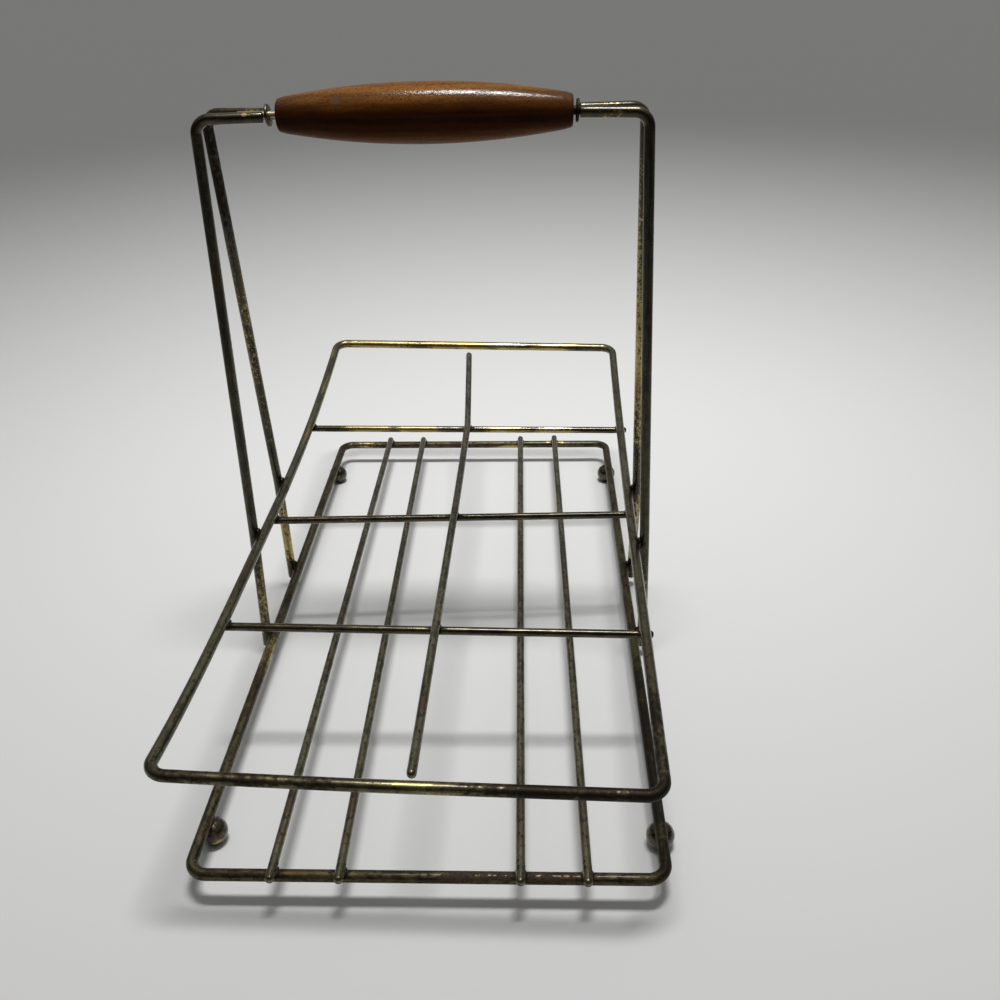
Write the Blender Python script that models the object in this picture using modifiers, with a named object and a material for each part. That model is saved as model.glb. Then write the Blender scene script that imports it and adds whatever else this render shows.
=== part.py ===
"""A carrier for eight glasses: two loops of brassed steel wire, welded cross wires, a four-legged bail
and a turned wooden grip that spins on a rod.

Metres, +Z up. X runs across the carrier along the grip, Y from its front to its back. The origin is on
the ground, midway between the outermost points of the legs and of the rail.
The carrier is modelled as found, a little out of true. The sizes under "How it has been bent" say by
how much, and with all of them at zero it is straight and level.
"""

import math

import bmesh
import bpy
from mathutils import Matrix, Vector

MM = 0.001

# The two gauges of wire, and the gap left where one piece is welded to another or stands on it
HEAVY_WIRE = 3.9 * MM
LIGHT_WIRE = 3.1 * MM
WELD_GAP = 0.3 * MM

# Layout: square cells, two across and four from front to back
CELL = 76 * MM
COLUMNS = 2
ROWS = 4
BASE_INSET = 3 * MM
CORNER_RADIUS = 6 * MM

# Heights of the two loops and of the handle
RAIL_ABOVE_BASE = 44.8 * MM
HANDLE_ABOVE_BASE = 204.4 * MM

# Ball feet, each with a flat to stand on and a saddle for the wire above it
FOOT_BALL = 9.6 * MM
FOOT_FLAT = 0.25 * MM
FOOT_SADDLE = 0.5 * MM
FOOT_INSET = 23 * MM

# How far to the right of its wire each ball was welded
FOOT_SLIPS = {
    "ball_foot_front_left": 0.8 * MM,
    "ball_foot_back_left": 0 * MM,
    "ball_foot_front_right": 0.7 * MM,
    "ball_foot_back_right": -0.8 * MM,
}

# Wires that carry the glasses. For each, where it crosses the front and the back of the base loop, in
# shares of the loop's half width, and how far over the back wire it reaches, in shares of that wire
FLOOR_WIRE_SHARES = {
    "floor_wire_left_outer": (-0.633, -0.632, 0.6),
    "floor_wire_left_inner": (-0.348, -0.382, 0.6),
    "floor_wire_right_inner": (0.396, 0.356, 0.75),
    "floor_wire_right_outer": (0.67, 0.612, 1.0),
}
FLOOR_FRONT_OVERHANG = 3.5 * MM

# Wires across the rail, welded by eye: where each meets the left and the right side of the rail,
# in cells from the middle
CROSS_WIRE_SHARES = {
    "cross_wire_front": (-1.007, -0.976),
    "cross_wire_middle": (-0.064, 0.086),
    "cross_wire_back": (0.988, 1.041),
}
CROSS_OVERHANG = 1.4 * MM

# The wire between the two columns stops short of the rail at both ends
DIVIDER_OFFSET = 1.65 * MM
DIVIDER_FRONT_STOP = 4.4 * MM
DIVIDER_BACK_STOP = 7.8 * MM
DIVIDER_TIP_BEND = 3.9 * MM

# Bail: half the spread of its legs at the base and at the top, and its bends
LEG_BASE_SPREAD = 24.9 * MM
LEG_TOP_SPREAD = 6.4 * MM
LEG_TAIL = 6.5 * MM
BAIL_BEND = 5 * MM

# Grip, the rod it turns on, and the washers beside it
GRIP_LENGTH = 101.6 * MM
GRIP_MIDDLE = 20.3 * MM
GRIP_END = 11.2 * MM
GRIP_EDGE = 1 * MM
GRIP_PLAY = 3.3 * MM
GRIP_SHIFT = 1 * MM
RUNNING_GAP = 0.3 * MM
ROD_WELD_LENGTH = 10 * MM
WASHER_DIAMETER = 7.7 * MM
WASHER_THICKNESS = 1 * MM
WASHER_EDGE = 0.2 * MM

# How it has been bent: the handle leans to the left, the legs are pinched in at the top, and the rail
# leans to the right, climbs to the back, is bent up behind the middle and is turned on its legs. Its
# left side is knocked in at the front cross wire, and its front left corner is bent out and up
HANDLE_LEAN = -3.4 * MM
LEG_PINCH = 3 * MM
RAIL_LEAN = 2.8 * MM
RAIL_CLIMB = 4 * MM
RAIL_BACK_LIFT = 13 * MM
RAIL_TURN = math.radians(-1.1)
SIDE_KNOCK = 1.25 * MM
CORNER_SPREAD = 0.5 * MM
CORNER_LIFT = 1.25 * MM

# Fineness of the round forms
HEAVY_SIDES = 16
LIGHT_SIDES = 12
BEND_STEPS = 6
SLOPE_STEPS = 8
TIP_STEPS = 3
TIP_SHARE = 0.45
GRIP_STEPS = 18
EDGE_STEPS = 3
TURNED_SIDES = 40
BALL_SIDES = 20
BALL_RINGS = 14
CUT_OVERRUN = 2 * MM

# Worked out from the sizes above
LOOP_HALF_WIDTH = CELL * COLUMNS / 2
RAIL_HALF_LENGTH = CELL * ROWS / 2
BASE_HALF_LENGTH = RAIL_HALF_LENGTH - BASE_INSET
FOOT_HEIGHT = FOOT_BALL - FOOT_FLAT
BASE_Z = FOOT_HEIGHT - FOOT_SADDLE + WELD_GAP + HEAVY_WIRE / 2
RAIL_Z = BASE_Z + RAIL_ABOVE_BASE
HANDLE_Z = BASE_Z + HANDLE_ABOVE_BASE
WELD_STEP = (HEAVY_WIRE + LIGHT_WIRE) / 2 + WELD_GAP
CROSS_OVER_STEP = LIGHT_WIRE + WELD_GAP

METALS = {
    "heavy_wire": ((0.17, 0.14, 0.08, 1), 0.42, 1.0),
    "light_wire": ((0.14, 0.12, 0.08, 1), 0.45, 1.0),
    "bright_brass": ((0.62, 0.5, 0.28, 1), 0.3, 1.0),
    "foot_brass": ((0.2, 0.15, 0.08, 1), 0.5, 1.0),
}
WOODS = {"grip_wood": ((0.33, 0.1, 0.035, 1), 0.32, 0.0)}


def cleared_scene():
    """An empty scene with one collection for the carrier and one for its cutters."""
    for old in list(bpy.data.objects):
        bpy.data.objects.remove(old, do_unlink=True)
    collections = []
    for name in ("glass_carrier", "cutters"):
        made = bpy.data.collections.new(name)
        bpy.context.scene.collection.children.link(made)
        collections.append(made)
    return collections


def finish_materials():
    """A Principled material for each finish, by name."""
    made = {}
    for name, (colour, roughness, metallic) in {**METALS, **WOODS}.items():
        material = bpy.data.materials.new(name)
        material.use_nodes = True
        shader = material.node_tree.nodes["Principled BSDF"]
        shader.inputs["Base Color"].default_value = colour
        shader.inputs["Roughness"].default_value = roughness
        shader.inputs["Metallic"].default_value = metallic
        material.diffuse_color = colour
        made[name] = material
    return made


CARRIER, CUTTERS = cleared_scene()
FINISHES = finish_materials()


def placed(name, data, finish, location=(0, 0, 0), rotation=(0, 0, 0)):
    """A named object of the carrier, with its finish."""
    made = bpy.data.objects.new(name, data)
    made.location = location
    made.rotation_euler = rotation
    data.materials.append(FINISHES[finish])
    CARRIER.objects.link(made)
    return made


def leaning(z):
    """How far to the side the carrier's middle stands at a height. The origin is under the middle of
    its whole width, so the base stands a little to the other side."""
    right_most = max(0.0, HANDLE_LEAN - LEG_PINCH)
    left_most = min(0.0, HANDLE_LEAN + LEG_PINCH)
    return HANDLE_LEAN * (z - BASE_Z) / HANDLE_ABOVE_BASE - (left_most + right_most) / 2


def on_base(x, y, above=0.0):
    """A point over the base loop, at its wire's height or above it."""
    return Vector((x + leaning(BASE_Z), y, BASE_Z + above))


def knocked_left(x, y):
    """How far the rail's left side is knocked in there, less its front corner's spread, and how far
    that corner is lifted."""
    left = max(0.0, -x / LOOP_HALF_WIDTH)
    knock = -CELL
    reach = RAIL_HALF_LENGTH - knock if y > knock else RAIL_HALF_LENGTH + knock
    corner = left**1.5 * max(0.0, -y / RAIL_HALF_LENGTH) ** 6
    inward = SIDE_KNOCK * left * (1 - ((y - knock) / reach) ** 2)
    return inward - CORNER_SPREAD * corner, CORNER_LIFT * corner


def on_rail(x, y, below=0.0):
    """A point of the rail's flat plan, where the bent rail carries it, or below it."""
    behind = max(0.0, y / RAIL_HALF_LENGTH)
    inward, lift = knocked_left(x, y)
    tilt = RAIL_CLIMB * y / (2 * RAIL_HALF_LENGTH) - RAIL_LEAN * x / (2 * LOOP_HALF_WIDTH)
    z = RAIL_Z + tilt + RAIL_BACK_LIFT * behind**2 + lift - below
    turned = Matrix.Rotation(RAIL_TURN, 3, "Z") @ Vector((x + inward, y, 0))
    return Vector((turned.x + leaning(z), turned.y, z))


def rounded(points, radius, closed=False):
    """The points with each corner replaced by an arc. Points of an open run keep its two ends."""
    count = len(points)
    found = []
    for i, corner in enumerate(points):
        if not closed and i in (0, count - 1):
            found.append(corner)
            continue
        back = (points[i - 1] - corner).normalized()
        ahead = (points[(i + 1) % count] - corner).normalized()
        half = back.angle(ahead) / 2
        centre = corner + (back + ahead).normalized() * radius / math.sin(half)
        start = corner + back * radius / math.tan(half) - centre
        end = corner + ahead * radius / math.tan(half) - centre
        swing = start.angle(end)
        for step in range(BEND_STEPS + 1):
            share = step / BEND_STEPS
            arm = start * math.sin((1 - share) * swing) + end * math.sin(share * swing)
            found.append(centre + arm / math.sin(swing))
    return found


def divided(points, steps):
    """The points with each straight run between them cut into equal steps."""
    found = []
    for start, end in zip(points, points[1:]):
        found += [start.lerp(end, step / steps) for step in range(steps)]
    return found + [points[-1]]


def tumbled_tips(points, diameter):
    """The run with its two ends drawn in, as the ends of barrelled wire are: points and their radii."""
    reach = diameter * TIP_SHARE

    def tip(end, inner):
        inward = (inner - end).normalized() * reach
        shares = [math.sin(math.pi / 2 * step / TIP_STEPS) for step in range(1, TIP_STEPS)]
        drawn = [(end + inward * (1 - math.sqrt(1 - share**2)), share) for share in shares]
        return [(end, TIP_SHARE / 2), *drawn, (end + inward, 1.0)]

    first = tip(points[0], points[1])
    last = tip(points[-1], points[-2])
    return first + [(point, 1.0) for point in points[1:-1]] + last[::-1]


def wire(name, points, diameter, sides, finish, closed=False, tumbled=False):
    """A drawn wire along the points: a poly curve with a round section, closed or with filled ends."""
    stations = tumbled_tips(points, diameter) if tumbled else [(point, 1.0) for point in points]
    curve = bpy.data.curves.new(name, "CURVE")
    curve.dimensions = "3D"
    curve.bevel_depth = diameter / 2
    curve.bevel_resolution = sides // 2 - 2
    curve.use_fill_caps = not closed
    run = curve.splines.new("POLY")
    run.points.add(len(stations) - 1)
    for station, (point, share) in zip(run.points, stations):
        station.co = (*point, 1.0)
        station.radius = share
    run.use_cyclic_u = closed
    run.use_smooth = True
    return placed(name, curve, finish)


def rectangle(half_width, half_length):
    """The corners of a loop in plan, from the front left round to the back left."""
    return [
        Vector((-half_width, -half_length, 0)),
        Vector((half_width, -half_length, 0)),
        Vector((half_width, half_length, 0)),
        Vector((-half_width, half_length, 0)),
    ]


def make_base_loop():
    plan = rounded(rectangle(LOOP_HALF_WIDTH, BASE_HALF_LENGTH), CORNER_RADIUS, closed=True)
    points = [on_base(p.x, p.y) for p in plan]
    wire("base_loop", points, HEAVY_WIRE, HEAVY_SIDES, "heavy_wire", closed=True)


def make_top_rail():
    """The upper loop. Its sides and its front are cut into steps, because they are bent."""
    plan = rounded(rectangle(LOOP_HALF_WIDTH, RAIL_HALF_LENGTH), CORNER_RADIUS, closed=True)
    corner = BEND_STEPS + 1
    right = divided([plan[2 * corner - 1], plan[2 * corner]], SLOPE_STEPS)[1:-1]
    left = divided([plan[-1], plan[0]], SLOPE_STEPS)[1:-1]
    front = divided([plan[corner - 1], plan[corner]], SLOPE_STEPS)[1:-1]
    plan = plan[:corner] + front + plan[corner : 2 * corner] + right + plan[2 * corner :] + left
    points = [on_rail(p.x, p.y) for p in plan]
    wire("top_rail", points, HEAVY_WIRE, HEAVY_SIDES, "heavy_wire", closed=True)


def make_floor_wires():
    """The wires that carry the glasses lie on the front and the back of the base loop."""
    front = -BASE_HALF_LENGTH - HEAVY_WIRE / 2 - FLOOR_FRONT_OVERHANG
    for name, (front_share, back_share, reach_share) in FLOOR_WIRE_SHARES.items():
        back = BASE_HALF_LENGTH + HEAVY_WIRE * (reach_share - 0.5)
        ends = [
            on_base(front_share * LOOP_HALF_WIDTH, front, WELD_STEP),
            on_base(back_share * LOOP_HALF_WIDTH, back, WELD_STEP),
        ]
        wire(name, ends, LIGHT_WIRE, LIGHT_SIDES, "light_wire", tumbled=True)


def make_cross_wires():
    """The wires across hang under the two sides of the rail, and stick out a little past them."""
    half = LOOP_HALF_WIDTH + HEAVY_WIRE / 2 + CROSS_OVERHANG
    for name, shares in CROSS_WIRE_SHARES.items():
        left, right = (share * CELL for share in shares)
        seats = [
            on_rail(-LOOP_HALF_WIDTH, left, WELD_STEP),
            on_rail(LOOP_HALF_WIDTH, right, WELD_STEP),
        ]
        middle = (seats[0] + seats[1]) / 2
        spread = half / LOOP_HALF_WIDTH
        ends = [middle + (seat - middle) * spread for seat in seats]
        wire(name, ends, LIGHT_WIRE, LIGHT_SIDES, "light_wire", tumbled=True)


def make_divider():
    """The wire between the columns lies on the cross wires. Its free back end is bent to the left."""
    front = -RAIL_HALF_LENGTH + DIVIDER_FRONT_STOP
    back = RAIL_HALF_LENGTH - DIVIDER_BACK_STOP
    bend = CELL
    plan = divided([Vector((DIVIDER_OFFSET, y, 0)) for y in (front, 0, bend, back)], SLOPE_STEPS // 2)
    points = []
    for p in plan:
        past = max(0.0, (p.y - bend) / (back - bend))
        points.append(on_rail(p.x - DIVIDER_TIP_BEND * past, p.y, WELD_STEP - CROSS_OVER_STEP))
    wire("centre_divider", points, LIGHT_WIRE, LIGHT_SIDES, "light_wire", tumbled=True)


def handle_ends():
    """How far from the middle the bail's wires end, and how far the rod between them reaches."""
    wires_end = GRIP_LENGTH / 2 + GRIP_PLAY
    return wires_end, wires_end + ROD_WELD_LENGTH


def leg_seats(side, end):
    """Where a leg is welded: beside the base loop and beside the rail, clear of each by the weld gap."""
    out = side * (HEAVY_WIRE + WELD_GAP)
    base_seat = on_base(side * LOOP_HALF_WIDTH + out, end * LEG_BASE_SPREAD)
    spread = LEG_BASE_SPREAD - (LEG_BASE_SPREAD - LEG_TOP_SPREAD) * RAIL_ABOVE_BASE / HANDLE_ABOVE_BASE
    rail_seat = on_rail(side * LOOP_HALF_WIDTH, end * spread)
    rail_seat.x += out
    return base_seat, rail_seat


def make_bail():
    """Four legs, welded outside both loops. Each bends over the top and runs in to the rod."""
    top_half_width = LOOP_HALF_WIDTH + HEAVY_WIRE + WELD_GAP - LEG_PINCH
    wires_end, _ = handle_ends()
    beside_rod = (LIGHT_WIRE + HEAVY_WIRE) / 2 + WELD_GAP
    for side, side_name in ((-1, "left"), (1, "right")):
        for end, end_name in ((-1, "front"), (1, "back")):
            base_seat, rail_seat = leg_seats(side, end)
            tail = base_seat + (base_seat - rail_seat).normalized() * LEG_TAIL
            top = Vector((side * top_half_width + leaning(HANDLE_Z), end * LEG_TOP_SPREAD, HANDLE_Z))
            inner = Vector((side * wires_end + leaning(HANDLE_Z), end * beside_rod, HANDLE_Z))
            bent = rounded([rail_seat, top, inner], BAIL_BEND)
            points = [tail, base_seat, *bent]
            wire(f"bail_leg_{end_name}_{side_name}", points, HEAVY_WIRE, HEAVY_SIDES, "heavy_wire")


def make_rod():
    """The rod that the grip turns on, welded at each end between a pair of the bail's wires."""
    _, reach = handle_ends()
    ends = [Vector((side * reach + leaning(HANDLE_Z), 0, HANDLE_Z)) for side in (-1, 1)]
    wire("grip_rod", ends, LIGHT_WIRE, LIGHT_SIDES, "bright_brass")


def turned(name, profile, finish, location, sides=TURNED_SIDES):
    """A piece turned about the carrier's X axis, from the (radius, height) points of its section."""
    mesh = bpy.data.meshes.new(name)
    corners = [(radius, 0, height) for radius, height in profile]
    edges = [(i, (i + 1) % len(corners)) for i in range(len(corners))]
    mesh.from_pydata(corners, edges, [])
    made = placed(name, mesh, finish, location, (0, math.pi / 2, 0))
    lathe = made.modifiers.new("turned", "SCREW")
    lathe.axis = "Z"
    lathe.steps = sides
    lathe.render_steps = sides
    lathe.use_merge_vertices = True
    lathe.merge_threshold = WELD_GAP / 100
    lathe.use_smooth_shade = True
    return made


def eased(radius, height, edge, up):
    """A quarter turn that eases the outer edge of an end face, from the top down."""
    turn = [math.pi / 2 * step / EDGE_STEPS for step in range(EDGE_STEPS + 1)]
    if up:
        return [(radius - edge + edge * math.sin(a), height - edge + edge * math.cos(a)) for a in turn]
    return [(radius - edge + edge * math.cos(a), -height + edge - edge * math.sin(a)) for a in turn]


def grip_centre():
    return Vector((leaning(HANDLE_Z) + GRIP_SHIFT, 0, HANDLE_Z))


def make_grip():
    """A barrel turned from one piece of wood, with a bore that runs freely on the rod."""
    half, edge = GRIP_LENGTH / 2, GRIP_EDGE
    bore = LIGHT_WIRE / 2 + RUNNING_GAP
    swell = (GRIP_MIDDLE - GRIP_END) / 2
    heights = [half - edge - 2 * (half - edge) * step / GRIP_STEPS for step in range(1, GRIP_STEPS)]
    barrel = [(GRIP_END / 2 + swell * (1 - (height / half) ** 2), height) for height in heights]
    top_edge = eased(GRIP_END / 2, half, edge, up=True)
    bottom_edge = eased(GRIP_END / 2, half, edge, up=False)
    profile = [(bore, half), *top_edge, *barrel, *bottom_edge, (bore, -half)]
    turned("wooden_grip", profile, "grip_wood", grip_centre())


def make_washers():
    """Two loose washers, each beside the ends of a pair of the bail's wires."""
    wires_end, _ = handle_ends()
    radius, half, bore = WASHER_DIAMETER / 2, WASHER_THICKNESS / 2, LIGHT_WIRE / 2 + RUNNING_GAP
    top_edge = eased(radius, half, WASHER_EDGE, up=True)
    bottom_edge = eased(radius, half, WASHER_EDGE, up=False)
    profile = [(bore, half), *top_edge, *bottom_edge, (bore, -half)]
    for side, name in ((-1, "washer_left"), (1, "washer_right")):
        across = side * (wires_end - RUNNING_GAP - half) + leaning(HANDLE_Z)
        turned(name, profile, "bright_brass", (across, 0, HANDLE_Z))


def saddle_cutter(name, x, y):
    """A bar along the base wire, larger than it by the weld gap, that hollows the top of a foot."""
    reach = FOOT_BALL / 2 + CUT_OVERRUN
    bpy.ops.mesh.primitive_cylinder_add(
        vertices=HEAVY_SIDES,
        radius=HEAVY_WIRE / 2 + WELD_GAP,
        depth=2 * reach,
        location=on_base(x, y),
        rotation=(math.pi / 2, 0, 0),
    )
    cutter = bpy.context.object
    cutter.name = name
    for collection in list(cutter.users_collection):
        collection.objects.unlink(cutter)
    CUTTERS.objects.link(cutter)
    cutter.hide_render = True
    cutter.display_type = "WIRE"
    return cutter


def ball_with_flat(name):
    """A ball cut flat underneath, with its centre at the origin of its mesh."""
    ball = bmesh.new()
    bmesh.ops.create_uvsphere(
        ball, u_segments=BALL_SIDES, v_segments=BALL_RINGS, radius=FOOT_BALL / 2
    )
    whole = ball.verts[:] + ball.edges[:] + ball.faces[:]
    cut = bmesh.ops.bisect_plane(
        ball,
        geom=whole,
        plane_co=(0, 0, FOOT_FLAT - FOOT_BALL / 2),
        plane_no=(0, 0, -1),
        clear_outer=True,
    )
    rim = [part for part in cut["geom_cut"] if isinstance(part, bmesh.types.BMEdge)]
    bmesh.ops.contextual_create(ball, geom=rim)
    bmesh.ops.recalc_face_normals(ball, faces=ball.faces[:])
    mesh = bpy.data.meshes.new(name)
    ball.to_mesh(mesh)
    ball.free()
    mesh.shade_smooth()
    mesh.set_sharp_from_angle(angle=math.radians(40))
    return mesh


def make_feet():
    """Four balls under the sides of the base loop, near its corners."""
    for side, side_name in ((-1, "left"), (1, "right")):
        for end, end_name in ((-1, "front"), (1, "back")):
            name = f"ball_foot_{end_name}_{side_name}"
            x, y = side * LOOP_HALF_WIDTH, end * (BASE_HALF_LENGTH - FOOT_INSET)
            centre = on_base(x + FOOT_SLIPS[name], y)
            centre.z = FOOT_BALL / 2 - FOOT_FLAT
            foot = placed(name, ball_with_flat(name), "foot_brass", centre)
            saddle = foot.modifiers.new("saddle", "BOOLEAN")
            saddle.operation = "DIFFERENCE"
            saddle.object = saddle_cutter(f"{name}_saddle", x, y)


make_base_loop()
make_top_rail()
make_floor_wires()
make_cross_wires()
make_divider()
make_bail()
make_rod()
make_grip()
make_washers()
make_feet()
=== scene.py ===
# %% [markdown]
# # A wire carrier for eight glasses
# The carrier is made of drawn steel wire, plated with brass, cut, bent and spot welded, with a grip
# turned from wood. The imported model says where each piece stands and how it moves. Here the same
# pieces are drawn again, finely enough for a close look, and get their worn finishes.
# Everything is in metres, with +Z up, and the origin on the ground under the middle of the carrier.

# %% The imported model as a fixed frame
import math

import bpy
import numpy as np
from mathutils import Matrix, Vector, noise


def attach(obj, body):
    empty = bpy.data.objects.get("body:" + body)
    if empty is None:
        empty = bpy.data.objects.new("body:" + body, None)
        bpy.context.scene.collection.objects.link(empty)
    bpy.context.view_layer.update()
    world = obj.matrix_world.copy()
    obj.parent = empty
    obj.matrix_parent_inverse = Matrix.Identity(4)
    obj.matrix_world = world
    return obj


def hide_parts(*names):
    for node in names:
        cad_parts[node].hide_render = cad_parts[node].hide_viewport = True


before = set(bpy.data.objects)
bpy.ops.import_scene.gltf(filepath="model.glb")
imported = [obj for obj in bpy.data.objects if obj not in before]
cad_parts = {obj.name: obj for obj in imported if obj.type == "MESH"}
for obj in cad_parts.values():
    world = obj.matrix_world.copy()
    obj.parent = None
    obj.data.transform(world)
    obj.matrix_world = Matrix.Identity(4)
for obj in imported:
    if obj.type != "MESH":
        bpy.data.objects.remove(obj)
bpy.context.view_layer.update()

MM = 0.001

# %% [markdown]
# ## The sizes
# These are the sizes of the solid model, so that each wire drawn here lies in its node. The carrier
# isn't true: its handle leans, its rail climbs, is bent up behind the middle and is knocked in on
# the left. The functions below say where a point of the straight, level carrier went when it was
# bent.

# %% Sizes, and the bent carrier's own coordinates
# The two gauges of wire, the gap that stands for a weld in the solids, and the loops' corners
HEAVY, LIGHT, GAP = 3.9 * MM, 3.1 * MM, 0.3 * MM
CORNER = 6 * MM
# Square cells, two across and four from front to back, and half the size of each loop
CELL = 76 * MM
HALF_WIDTH, RAIL_HALF, BASE_HALF = CELL, 2 * CELL, 2 * CELL - 3 * MM
# Ball feet: the flat below, the seat under the wire, and how far in from the ends of the loop
BALL, BALL_FLAT, BALL_SEAT, BALL_INSET = 9.6 * MM, 0.25 * MM, 0.5 * MM, 23 * MM
# Heights of the wires' middles, and the step from a heavy wire's to that of a light one on it
RAIL_ABOVE_BASE, HANDLE_ABOVE_BASE = 44.8 * MM, 204.4 * MM
BASE_Z = BALL - BALL_FLAT - BALL_SEAT + GAP + HEAVY / 2
RAIL_Z, HANDLE_Z = BASE_Z + RAIL_ABOVE_BASE, BASE_Z + HANDLE_ABOVE_BASE
WELD_STEP = (HEAVY + LIGHT) / 2 + GAP
# Half the spread of the bail's legs, at the base and at the top
LEG_SPREAD, LEG_TOP_SPREAD = 24.9 * MM, 6.4 * MM
# How it has been bent, and how far the middle of its base lies beside the origin
HANDLE_LEAN, BASE_SHIFT = -3.4 * MM, 0.2 * MM
RAIL_LEAN, RAIL_CLIMB, RAIL_BACK_LIFT, RAIL_TURN = 2.8 * MM, 4 * MM, 13 * MM, math.radians(-1.1)
SIDE_KNOCK, CORNER_SPREAD, CORNER_LIFT = 1.25 * MM, 0.5 * MM, 1.25 * MM


def leaning(z):
    """How far to the side the carrier's middle stands at a height."""
    return HANDLE_LEAN * (z - BASE_Z) / HANDLE_ABOVE_BASE + BASE_SHIFT


def on_base(x, y, above=0.0):
    """Where a point of the base's flat plan lies."""
    return Vector((x + leaning(BASE_Z), y, BASE_Z + above))


def knocked_left(x, y):
    """How far the rail's left side is knocked in there, and how far its front corner is lifted."""
    left = max(0.0, -x / HALF_WIDTH)
    reach = RAIL_HALF + CELL if y > -CELL else RAIL_HALF - CELL
    corner = left**1.5 * max(0.0, -y / RAIL_HALF) ** 6
    inward = SIDE_KNOCK * left * (1 - ((y + CELL) / reach) ** 2)
    return inward - CORNER_SPREAD * corner, CORNER_LIFT * corner


def on_rail(x, y, below=0.0):
    """Where the bent rail carries a point of its flat plan."""
    behind = max(0.0, y / RAIL_HALF)
    inward, lift = knocked_left(x, y)
    tilt = RAIL_CLIMB * y / (2 * RAIL_HALF) - RAIL_LEAN * x / (2 * HALF_WIDTH)
    z = RAIL_Z + tilt + RAIL_BACK_LIFT * behind**2 + lift - below
    turned = Matrix.Rotation(RAIL_TURN, 3, "Z") @ Vector((x + inward, y, 0))
    return Vector((turned.x + leaning(z), turned.y, z))


heights = [round(z / MM, 1) for z in (BASE_Z, RAIL_Z, HANDLE_Z)]
print("heights of base, rail and grip in mm:", *heights)

# %% [markdown]
# ## The camera
# The photograph was taken from a little above the handle, looking down into the carrier. The place,
# the turn and the lens come from fitting the wires' crossings to the picture.

# %% The camera
PICTURE_WIDTH, FOCAL_LENGTH, SENSOR = 1000, 971.65, 36  # two in pixels, the last in millimetres
yaw, pitch, roll = -0.04244, -0.52235, -0.02438
ahead = Vector(
    (math.sin(yaw) * math.cos(pitch), math.cos(yaw) * math.cos(pitch), math.sin(pitch))
)
right = Vector((math.cos(yaw), -math.sin(yaw), 0))
above = right.cross(ahead)
axes = (
    right * math.cos(roll) + above * math.sin(roll),
    above * math.cos(roll) - right * math.sin(roll),
    -ahead,
)
lens = bpy.data.cameras.new("photo_camera")
lens.sensor_width = SENSOR
lens.lens = FOCAL_LENGTH * SENSOR / PICTURE_WIDTH
lens.shift_x = 2.473 / PICTURE_WIDTH
lens.shift_y = -8.554 / PICTURE_WIDTH
lens.clip_start = 1 * MM
camera = bpy.data.objects.new("photo_camera", lens)
camera_place = Matrix.Translation((0.03458, -0.35284, 0.26875))
camera.matrix_world = camera_place @ Matrix(axes).transposed().to_4x4()
bpy.context.scene.collection.objects.link(camera)
bpy.context.scene.camera = camera
print("camera", [round(c, 3) for c in camera.location], "lens", round(lens.lens, 1))

# %% [markdown]
# ## The stage
# A plain pale floor, one large soft lamp high above it and a grey surround. Metal shows mostly what
# it mirrors. So the surround is bright above and behind, and dark in front and at the sides: that
# puts a light streak along the top of each wire and leaves its front dark, as in the picture. The
# lamp has a hood, which keeps the floor far in front of the carrier out of its light.

# %% Floor, lamp and surround
def nothing_selected():
    """Object mode, with nothing selected, so that the next operator sees only what it makes."""
    if bpy.context.mode != "OBJECT":
        bpy.ops.object.mode_set(mode="OBJECT")
    bpy.ops.object.select_all(action="DESELECT")


nothing_selected()
bpy.ops.mesh.primitive_plane_add(size=30, location=(0, 0, 0))
floor = bpy.context.object
floor.name = "floor"
paper = bpy.data.materials.new("pale_paper")
paper.use_nodes = True
paper_shader = paper.node_tree.nodes["Principled BSDF"]
paper_shader.inputs["Base Color"].default_value = (0.74, 0.74, 0.73, 1)
paper_shader.inputs["Roughness"].default_value = 0.9
floor.data.materials.append(paper)

soft_box = bpy.data.lights.new("soft_box", "AREA")
soft_box.shape = "ELLIPSE"
soft_box.size, soft_box.size_y = 0.5, 0.21
soft_box.energy = 2.65
soft_box.spread = math.radians(70)
lamp = bpy.data.objects.new("soft_box", soft_box)
lamp.location = (0.08, -0.01, 1.45)
lit_spot = Vector((0.03, 0.2, 0))
lamp.rotation_euler = (lit_spot - lamp.location).to_track_quat("-Z", "Y").to_euler()
bpy.context.scene.collection.objects.link(lamp)

world = bpy.data.worlds.new("surround")
bpy.context.scene.world = world
world.use_nodes = True
sky = world.node_tree
direction = sky.nodes.new("ShaderNodeTexCoord")
up_and_behind = sky.nodes.new("ShaderNodeVectorMath")
up_and_behind.operation = "DOT_PRODUCT"
up_and_behind.inputs[1].default_value = (0, 0.35, 0.75)
shade = sky.nodes.new("ShaderNodeValToRGB")
shade.color_ramp.interpolation = "EASE"
dark_end, bright_end = shade.color_ramp.elements
dark_end.position, dark_end.color = 0.15, (0.03, 0.03, 0.03, 1)
bright_end.position, bright_end.color = 0.75, (0.38, 0.38, 0.37, 1)
sky.links.new(direction.outputs["Generated"], up_and_behind.inputs[0])
sky.links.new(up_and_behind.outputs["Value"], shade.inputs[0])
sky.links.new(shade.outputs[0], sky.nodes["Background"].inputs["Color"])
sky.nodes["Background"].inputs["Strength"].default_value = 1.0
bpy.context.scene.view_settings.view_transform = "Standard"
print("lamp", soft_box.energy, "W at", [round(c, 2) for c in lamp.location])

# %% [markdown]
# ## How a wire is drawn
# Real wire comes off a reel, straight, and a machine bends it at each corner. It is modelled the
# same way: a ring of points across the wire is extruded along each straight run and spun round each
# bend. The rings are kept as a list of stations, with how far along the wire each one lies. That
# gives every point its place in the straight wire, which the finishes read, so that streaks follow
# the wire round its bends.

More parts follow.
